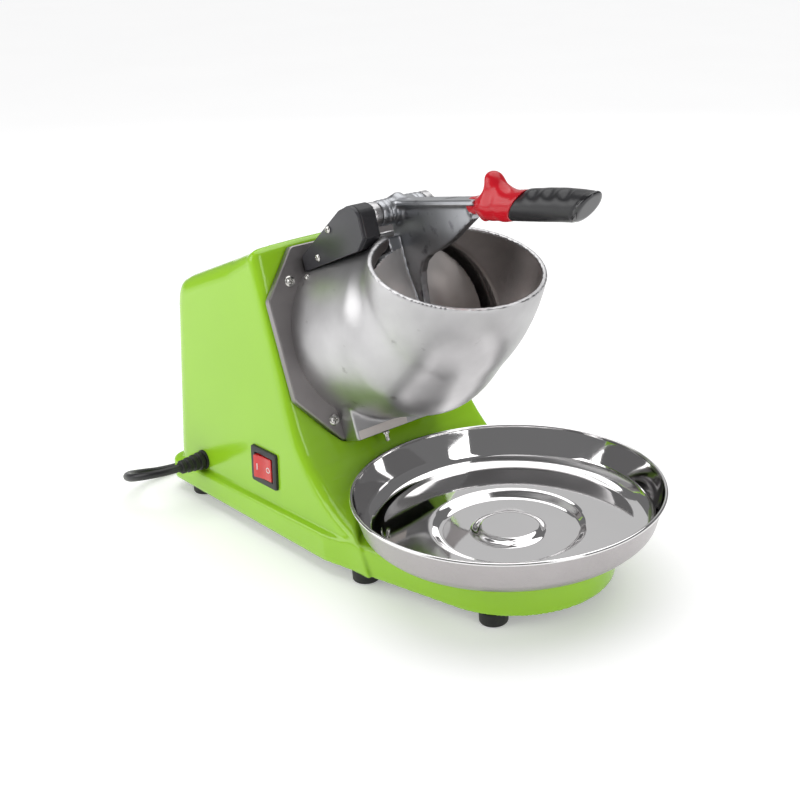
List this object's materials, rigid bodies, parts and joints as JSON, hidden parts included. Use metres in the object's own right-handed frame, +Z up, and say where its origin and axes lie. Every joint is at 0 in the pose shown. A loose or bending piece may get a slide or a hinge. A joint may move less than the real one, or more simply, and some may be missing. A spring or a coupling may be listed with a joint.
{
  "type": "shaved ice machine",
  "caption": "Electric shaved ice machine with a hinged pusher lever, cast feed bowl, spinning blade disc and round tray.",
  "frame": {"origin": "middle of the machine's footprint, on the surface that its feet stand on", "axes": "+X towards the tray, the front; +Y to the machine's left, away from the switch; +Z up"},
  "size_m": [0.6, 0.2715, 0.3133],
  "materials": {
    "lime_plastic": "gloss moulded, bright green",
    "grey_plastic": "matt moulded",
    "bright_screw": "zinc plated, slightly brushed",
    "black_rubber": "matt",
    "polished_steel": "polished inside, brushed outside",
    "cast_aluminium": "cast and brushed",
    "white_label": "matt film",
    "black_plastic": "fine textured",
    "red_plastic": "gloss",
    "white_plastic": "satin",
    "machined_disc": "turned",
    "blade_steel": "ground",
    "core_steel": "laminated",
    "copper_winding": "enamelled wire",
    "brass_tab": "tinned brass",
    "cord_rubber": "satin"
  },
  "bodies": {
    "machine": {"housing_shell": "lime_plastic", "bottom_cover": "grey_plastic", "bottom_cover_screws": "bright_screw", "feet": "black_rubber", "foot_screws": "bright_screw", "hopper_drum": "cast_aluminium", "flange_gasket": "black_rubber", "flange_screws": "bright_screw", "outlet_label": "white_label", "outlet_stud": "bright_screw", "earth_screw": "bright_screw", "switch_box": "black_plastic", "switch_box_lid": "black_plastic", "switch_box_screws": "bright_screw", "micro_switch": "black_plastic", "hinge_bushes": "white_plastic", "shaft_seal": "black_rubber", "front_bearing": "bright_screw", "rear_bearing": "bright_screw", "motor_front_bell": "cast_aluminium", "motor_rear_bell": "cast_aluminium", "stator_core": "core_steel", "stator_windings": "copper_winding", "motor_through_bolts": "bright_screw", "motor_spacers": "bright_screw", "run_capacitor": "white_plastic", "capacitor_clamp": "bright_screw", "terminal_block": "white_plastic", "cord_clamp": "black_plastic", "rocker_bezel": "black_plastic", "rocker_terminals": "brass_tab", "strain_relief": "cord_rubber", "power_cord": "cord_rubber", "cord_coil": "cord_rubber", "coil_tie": "white_plastic", "plug_body": "cord_rubber", "plug_pins": "brass_tab"},
    "lever": {"lever_arm": "cast_aluminium", "hinge_pin": "bright_screw", "pin_circlips": "bright_screw", "switch_cam": "white_plastic", "hand_guard": "red_plastic", "hand_grip": "black_rubber"},
    "rotor": {"blade_disc": "machined_disc", "blades": "blade_steel", "blade_screws": "bright_screw", "disc_nut": "bright_screw", "motor_shaft": "bright_screw", "rotor_core": "core_steel", "cooling_fan": "white_plastic"},
    "rocker": {"rocker_button": "red_plastic"},
    "plunger": {"micro_switch_plunger": "red_plastic"},
    "tray_body": {"tray": "polished_steel"}
  },
  "joints": [
    {"name": "lever_hinge", "type": "hinge", "parent": "machine", "child": "lever", "pos_m": [-0.0066, 0, 0.26973], "axis": [0, -1, 0], "range_deg": [0, 75]},
    {"name": "shaft_spin", "type": "hinge", "parent": "machine", "child": "rotor", "pos_m": [-0.052, 0, 0.1635], "axis": [0.9511, 0, 0.309], "continuous": true},
    {"name": "rocker_tilt", "type": "hinge", "parent": "machine", "child": "rocker", "pos_m": [-0.0795, -0.0888, 0.06182], "axis": [0, 0.0541, 0.9985], "range_deg": [-16, 0]},
    {"name": "plunger_travel", "type": "slide", "parent": "machine", "child": "plunger", "axis": [-0.454, 0, -0.891], "range_m": [0, 0.0015]},
    {"name": "tray_lift", "type": "slide", "parent": "machine", "child": "tray_body", "axis": [0.866, 0, 0.5], "range_m": [0, 0.12]}
  ],
  "couplings": [
    {"joint": "plunger_travel", "follows": "lever_hinge", "m_per_rad": 0.0011459}
  ]
}
